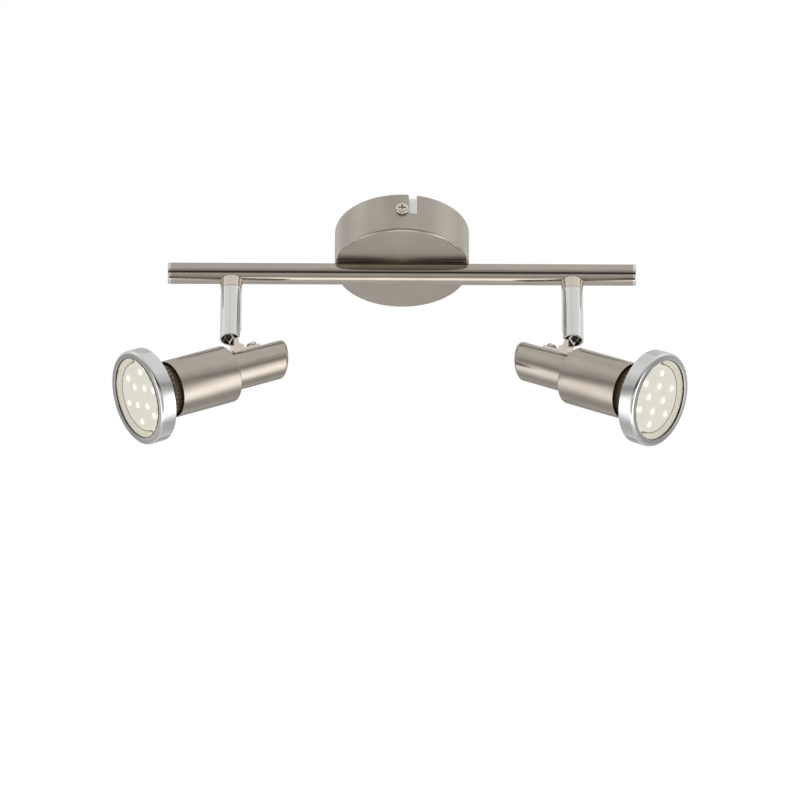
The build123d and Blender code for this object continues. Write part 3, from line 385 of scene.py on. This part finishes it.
for finish, kinds in CAD_FINISHES.items():
    for node, shown in frame["nodes"].items():
        if node.removeprefix("left_").removeprefix("right_") in kinds:
            shown.data.materials.clear()
            shown.data.materials.append(finish)


# ------------------------------------------------------------------ heads


def place_piece(piece, body, nodes):
    """Attaches a piece to what it rides on, and hides the CAD nodes it stands for."""
    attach(piece, body)
    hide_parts(*nodes)


def open_lead_slot(bm):
    """Opens the slot for the leads through both skins of a rear cup, and closes its sides."""
    def inside(face):
        middle = face.calc_center_median()
        turn = abs(math.atan2(middle.y, middle.x))
        return LEAD_SLOT[0] < middle.z < LEAD_SLOT[1] and turn < LEAD_SLOT_HALF and middle.x > 0
    cut = [face for face in bm.faces if inside(face)]
    bmesh.ops.delete(bm, geom=cut, context="FACES")
    rim = [edge for edge in bm.edges if edge.is_boundary]
    bmesh.ops.bridge_loops(bm, edges=rim)


def rear_cup(side):
    """Drawn cup behind the step, with a slanted closed end and a slot for the leads."""
    place = head_frame(side)
    _, step, rear_r = reach(f"{side}_rear_housing", place)
    inner_r = rear_r - REAR_WALL
    end = -REAR_LENGTH
    inner_end = end + REAR_WALL / math.cos(REAR_SLANT)
    outline = [(end, 0), (end, rear_r, REAR_EDGE), (LEAD_SLOT[0], rear_r), (LEAD_SLOT[1], rear_r),
               (step, rear_r), (step, inner_r), (LEAD_SLOT[1], inner_r), (LEAD_SLOT[0], inner_r),
               (inner_end, inner_r, REAR_EDGE - REAR_WALL), (inner_end, 0)]
    bm = bmesh.new()
    lathe(bm, rounded(outline, 8), 144)
    for vert in bm.verts:
        if vert.co.z < LEAD_SLOT[0] - REAR_EDGE:
            vert.co.z -= vert.co.x * math.tan(REAR_SLANT)
    open_lead_slot(bm)
    place_piece(finish_mesh(f"{side}_rear_cup", bm, place, [nickel_housing]), f"{side}_head",
                [f"{side}_rear_housing"])


def front_sleeve(side):
    """Wide drawn sleeve with its step plate."""
    place = head_frame(side)
    _, mouth, front_r = reach(f"{side}_front_housing", place)
    bore = front_r - FRONT_WALL
    outline = [(0, STEP_BORE), (0, front_r, STEP_EDGE), (mouth, front_r, LIP_EDGE), (mouth, bore, LIP_EDGE),
               (STEP_PLATE, bore, LIP_EDGE), (STEP_PLATE, STEP_BORE)]
    place_piece(turned(f"{side}_front_sleeve", outline, place, [nickel_housing]), f"{side}_head",
                [f"{side}_front_housing"])


def shell_line(steps=40):
    """(z, r) along the lamp's shell: a slight cone, then a trumpet that opens to the rim."""
    (back, back_r), (neck, neck_r), (rim, rim_r) = SHELL_BACK, SHELL_NECK, SHELL_RIM
    slope = (neck_r - back_r) / (neck - back)
    length = rim - neck
    flare = rim_r - neck_r - slope * length
    line = [(back + (neck - back) * k / 8, back_r + (neck_r - back_r) * k / 8) for k in range(8)]
    for k in range(steps + 1):
        along = k / steps
        line.append((neck + length * along, neck_r + slope * length * along + flare * along ** 1.7))
    return line


def shell_relief(z, r, angle):
    """Flutes behind the shell's seam, and rows of dimples in front of it."""
    if z > SHELL_RIM[0] - 0.2 * MM or z < SHELL_BACK[0] + 0.5 * MM:
        return r
    from_seam = abs(z - SHELL_SEAM) / (SEAM_WIDTH / 2)
    if from_seam < 1:
        return r - SEAM_DEPTH
    if z < SHELL_SEAM:
        return r - FLUTE_DEPTH * abs(math.sin(FLUTES / 2 * angle))
    row = (z - SHELL_SEAM) / DIMPLE_ROW
    wave = math.sin(DIMPLES * angle / 2 + math.pi / 2 * int(row)) * math.sin(math.pi * row)
    return r - 0.5 * FLUTE_DEPTH * (1 + wave)


def lamp_shell(side):
    """Smoky brown body of the lamp: fluted at the back, dimpled at the front, with a plain rim."""
    place = head_frame(side)
    seat_r = LENS_R + 0.1 * MM
    rim = [(SHELL_RIM[0], SHELL_FRONT[1] - 0.3 * MM), (SHELL_RIM[0] + 0.3 * MM, SHELL_FRONT[1]), SHELL_FRONT]
    inside = [(SHELL_FRONT[0], seat_r), (LENS_BACK, seat_r), (LENS_BACK, CUP_R),
              (BOARD_BACK, CUP_R - 0.2 * MM), (BOARD_BACK, 0)]
    bm = bmesh.new()
    lathe(bm, [(SHELL_BACK[0], 0)] + shell_line() + rim + inside, SHELL_STEPS, radius=shell_relief)
    place_piece(finish_mesh(f"{side}_lamp_shell", bm, place, [body_brown]), f"{side}_lamp",
                [f"{side}_lamp_body"])


def lamp_cup(side):
    """Cream cup between board and lens, with a painted glow. Its wall is cut in facets that glitter."""
    place = head_frame(side)
    middle_z = (BOARD_FRONT + LENS_BACK) / 2
    middle_r = (BOARD_R + CUP_R) / 2
    half = math.pi / CUP_FACETS

    back = BOARD_FRONT - 0.6 * MM

    def facet(z, r, angle):
        """Draws in every second point of the middle row."""
        return r - (CUP_FACET_DEPTH if abs(z - middle_z) < 0.2 * MM and round(angle / half) % 2 else 0)

    outline = [(back, BOARD_R + 0.05 * MM), (BOARD_FRONT, BOARD_R + 0.1 * MM), (middle_z, middle_r),
               (LENS_BACK, CUP_R - 0.1 * MM), (back, CUP_R - 0.3 * MM)]
    bm = bmesh.new()
    lathe(bm, outline, 2 * CUP_FACETS, radius=facet)
    place_piece(finish_mesh(f"{side}_lamp_cup", bm, place, [cone_cream_painted_glow], sharp=5), f"{side}_lamp",
                [f"{side}_lamp_body"])


def chip_board(side):
    """Round white board with a painted glow, and a fine groove near its edge."""
    groove_r = BOARD_R - 1.2 * MM
    outline = [(BOARD_BACK, 0), (BOARD_BACK, BOARD_R), (BOARD_FRONT, BOARD_R, 0.3 * MM),
               (BOARD_FRONT, groove_r + 0.2 * MM), (BOARD_FRONT - 0.15 * MM, groove_r),
               (BOARD_FRONT, groove_r - 0.2 * MM), (BOARD_FRONT, 0)]
    place_piece(turned(f"{side}_chip_board", outline, head_frame(side), [board_white_painted_glow]), f"{side}_lamp",
                [f"{side}_led_board"])


def board_seal(side):
    """Thin grey seal that fills the gap between board and cup."""
    turns = [k * math.pi / 6 for k in range(12)]
    outline = [(BOARD_FRONT + SEAL_R * math.sin(t), BOARD_R + SEAL_R * math.cos(t)) for t in turns]
    place_piece(turned(f"{side}_board_seal", outline, head_frame(side), [seal_grey]), f"{side}_lamp",
                [f"{side}_led_board"])


def spread(bm, side, outline, steps=28):
    """Puts a turned shape on every chip's place on the board."""
    for circle_r, count, lag in CHIP_CIRCLES:
        for k in range(count):
            turn = CHIP_TURN[side] + lag + 2 * math.pi * k / count
            first = len(bm.verts)
            lathe(bm, outline, steps)
            bm.verts.ensure_lookup_table()
            spot = Vector((circle_r * math.cos(turn), circle_r * math.sin(turn), BOARD_FRONT))
            bmesh.ops.translate(bm, vec=spot, verts=bm.verts[first:])


def chips(side):
    """Ten light chips, each a dome on a low, wider foot."""
    dome = [(FOOT_H, 0), (FOOT_H, CHIP_R)]
    for k in range(1, 7):
        turn = k / 6 * math.pi / 2
        dome.append((FOOT_H + (CHIP_H - FOOT_H) * math.sin(turn), CHIP_R * math.cos(turn)))
    dome[-1] = (CHIP_H, 0)
    bm = bmesh.new()
    spread(bm, side, dome)
    place_piece(finish_mesh(f"{side}_chip_domes", bm, head_frame(side), [chip_light]), f"{side}_lamp",
                [f"{side}_leds"])
    foot = [(0, 0), (0, FOOT_R), (FOOT_H * 0.5, FOOT_R - 0.05 * MM), (FOOT_H, CHIP_R + 0.1 * MM), (FOOT_H, 0)]
    bm = bmesh.new()
    spread(bm, side, foot)
    place_piece(finish_mesh(f"{side}_chip_feet", bm, head_frame(side), [chip_foot]), f"{side}_lamp",
                [f"{side}_leds"])


def front_lens(side):
    """Clear disc with a flange behind the ring's lip, and a small black latch at its edge."""
    crown = [(LENS_EDGE + (LENS_CROWN - LENS_EDGE) * (1 - (r / 10) ** 2), (LENS_STEP_R - 0.4 * MM) * r / 10)
             for r in range(10, -1, -1)]
    outline = [(LENS_BACK, 0), (LENS_BACK, LENS_R), (LENS_FLANGE, LENS_R), (LENS_FLANGE, LENS_STEP_R),
               (LENS_EDGE - 0.3 * MM, LENS_STEP_R)] + crown
    place = head_frame(side)
    place_piece(turned(f"{side}_front_lens", outline, place, [lens_clear]), f"{side}_lamp",
                [f"{side}_lamp_lens"])
    bm = bmesh.new()
    bmesh.ops.create_cube(bm, size=1)
    bmesh.ops.scale(bm, vec=(0.8 * MM, 1.3 * MM, 0.5 * MM), verts=bm.verts)
    bmesh.ops.bevel(bm, geom=bm.edges[:], offset=0.15 * MM, segments=3, affect="EDGES")
    bm.transform(Matrix.Rotation(LATCH_TURN[side], 4, "Z")
                 @ Matrix.Translation((RING_LIP_R - 0.5 * MM, 0, LENS_EDGE + 0.1 * MM)))
    place_piece(finish_mesh(f"{side}_lens_latch", bm, place, [latch_black]), f"{side}_lamp",
                [f"{side}_lamp_lens"])


def chromed_ring(side):
    """Turned ring: a plain band, a rounded front edge and a flat face that ends in a thin lip."""
    seat = SHELL_FRONT[0] + 0.1 * MM
    outline = [(RING_BACK, RING_BACK_R, 0.15 * MM), (RING_BACK, RING_R, 0.3 * MM),
               (RING_FRONT, RING_R, RING_EDGE), (RING_FRONT - 0.35 * MM, RING_LIP_R + 0.1 * MM, 0.12 * MM),
               (seat, RING_LIP_R), (seat, RING_BORE_R), (SHELL_RIM[0] - 2.4 * MM, RING_BORE_R),
               (SHELL_RIM[0] - 3.4 * MM, RING_BACK_R)]
    bm = bmesh.new()
    lathe(bm, rounded(outline, 12), 216)
    place_piece(finish_mesh(f"{side}_chromed_ring", bm, head_frame(side), [chrome], sharp=25), f"{side}_lamp",
                [f"{side}_trim_ring"])


for side in SIDES:
    rear_cup(side)
    front_sleeve(side)
    lamp_shell(side)
    lamp_cup(side)
    chip_board(side)
    board_seal(side)
    chips(side)
    front_lens(side)
    chromed_ring(side)

# ------------------------------------------------------------------ studio


# A normal room's height below the ceiling, with some to spare
FLOOR_Z = -3.4
VIEW_ELEVATION = 34.44 * DEG
VIEW_DISTANCE = 5.0
VIEW_ROLL = 0.24 * DEG
# The middle of the view, right of the canopy's axis and down from its top. A minus is to the left
VIEW_MIDDLE = (-0.8 * MM, 99.2 * MM)
FOCAL_LENGTH = 376.9
# Strengths of the studio's light: plain walls, and the darkest corner
ROOM_LIGHT = 0.55
DARKEST = 0.03


def camera():
    """Looks up at the bar from below, from far enough away that its sides stay parallel."""
    sight = Vector((0, math.cos(VIEW_ELEVATION), math.sin(VIEW_ELEVATION)))
    rise = Vector((0, -math.sin(VIEW_ELEVATION), math.cos(VIEW_ELEVATION)))
    aim = Vector((VIEW_MIDDLE[0], 0, 0)) - rise * VIEW_MIDDLE[1]
    lens = bpy.data.cameras.new("camera")
    lens.lens = FOCAL_LENGTH
    lens.sensor_width = 36
    lens.clip_start = 0.1
    lens.clip_end = 100
    made = bpy.data.objects.new("camera", lens)
    look = sight.to_track_quat("-Z", "Y").to_matrix() @ Matrix.Rotation(VIEW_ROLL, 3, "Z")
    made.matrix_world = Matrix.Translation(aim - sight * VIEW_DISTANCE) @ look.to_4x4()
    bpy.context.scene.collection.objects.link(made)
    bpy.context.scene.camera = made


def floor():
    """Pale floor, far below the ceiling fitting."""
    bm = bmesh.new()
    bmesh.ops.create_grid(bm, x_segments=4, y_segments=4, size=20)
    made, tree, shader = new_material("pale_matt_floor", Roughness=0.8)
    speck = add(tree, "TexNoise", {"Scale": 40.0, "Detail": 4.0})
    tint = add(tree, "Mix", {0: speck.outputs["Fac"], 6: linear("#e9e8e4"), 7: linear("#f1f0ed")},
               data_type="RGBA")
    tree.links.new(tint.outputs[2], shader.inputs["Base Color"])
    plane = finish_mesh("floor", bm, Matrix.Translation((0, 0, FLOOR_Z)), [made])
    plane.visible_glossy = False


def studio_light():
    """Soft white studio: a bright table below, a pale cloth overhead, and a dark room in front."""
    world = bpy.data.worlds.new("studio")
    world.use_nodes = True
    tree = world.node_tree
    tree.nodes.clear()
    way = add(tree, "TexCoord").outputs["Generated"]
    parts = add(tree, "SeparateXYZ", {0: way})
    high = add(tree, "Math", {0: parts.outputs["Z"]}, operation="ARCSINE").outputs[0]
    high = add(tree, "Math", {0: high, 1: 1 / DEG}, operation="MULTIPLY").outputs[0]
    side = add(tree, "Math", {0: parts.outputs["X"]}, operation="ABSOLUTE").outputs[0]
    near = add(tree, "Math", {0: parts.outputs["Y"], 1: -1.0}, operation="MULTIPLY").outputs[0]
    turn = add(tree, "Math", {0: side, 1: near}, operation="ARCTAN2").outputs[0]
    turn = add(tree, "Math", {0: turn, 1: 1 / DEG}, operation="MULTIPLY").outputs[0]

    def ramp(value, start, end, to_start=0.0, to_end=1.0):
        """Smooth change between two values."""
        return add(tree, "MapRange", {"Value": value, "From Min": start, "From Max": end, "To Min": to_start,
                                      "To Max": to_end}, interpolation_type="SMOOTHSTEP").outputs[0]

    def times(a, b):
        return add(tree, "Math", {0: a, 1: b}, operation="MULTIPLY").outputs[0]

    def band(value, start, end, soft):
        """1 between start and end, with soft edges."""
        return times(ramp(value, start - soft, start + soft), ramp(value, end - soft, end + soft, 1.0, 0.0))

    def bump(value, middle, half):
        """1 at the middle, falling to 0 at half a width from it."""
        away = add(tree, "Math", {0: value, 1: middle}, operation="SUBTRACT").outputs[0]
        away = add(tree, "Math", {0: away}, operation="ABSOLUTE").outputs[0]
        return ramp(away, 0.0, half, 1.0, 0.0)

    right = ramp(parts.outputs["X"], -0.15, 0.15)
    front = band(turn, -200, 42, 8)
    back = band(turn, 155, 400, 10)
    level = ROOM_LIGHT
    # high is degrees above the horizon, and turn is degrees round from the front
    parts_of_light = [
        # The cloth overhead, a little brighter on the right and at the sides
        times(ramp(high, 3, 36), 0.26),
        times(times(ramp(high, 3, 36), right), 0.08),
        times(times(band(high, 15, 62, 10), bump(turn, 82, 34)), 0.22),
        # Two big soft boxes at the sides, just below the bar. The right one is stronger
        times(times(band(high, -70, -8, 6), bump(turn, 88, 44)), 1.10),
        times(times(times(band(high, -70, -8, 6), bump(turn, 84, 40)), right), 0.50),
        # A dull line at the horizon, where cloth and walls meet
        times(band(high, -1, 8, 2.5), -0.14),
        # The table straight below
        times(band(high, -200, -77, 3), 1.45),
        # The dark room in front, and a pale strip under it
        times(times(band(high, -27, -5, 3), front), -0.50),
        times(times(band(high, -46, -38, 3), front), 0.30),
        # The wall behind: paler towards the floor, and dull near the ceiling
        times(times(band(high, -48, -2, 6), back), 0.18),
        times(times(band(high, -75, -48, 6), back), 0.30),
        times(times(ramp(high, -2, 25), back), -0.17),
        # A pale patch high on the left
        times(times(ramp(high, 10, 30), bump(parts.outputs["X"], -0.5, 0.28)), 0.10),
    ]
    for part in parts_of_light:
        level = add(tree, "Math", {0: level, 1: part}, operation="ADD").outputs[0]
    level = add(tree, "Math", {0: level, 1: DARKEST}, operation="MAXIMUM").outputs[0]
    seen = add(tree, "LightPath").outputs["Is Camera Ray"]
    strength = add(tree, "Mix", {0: seen, 2: level, 3: 1.0}, data_type="FLOAT").outputs[0]
    shade = add(tree, "Background", {"Color": linear("#ffffff"), "Strength": strength})
    out = add(tree, "OutputWorld", {"Surface": shade.outputs[0]})
    out.is_active_output = True
    bpy.context.scene.world = world
    bpy.context.scene.view_settings.view_transform = "Standard"


camera()
floor()
studio_light()
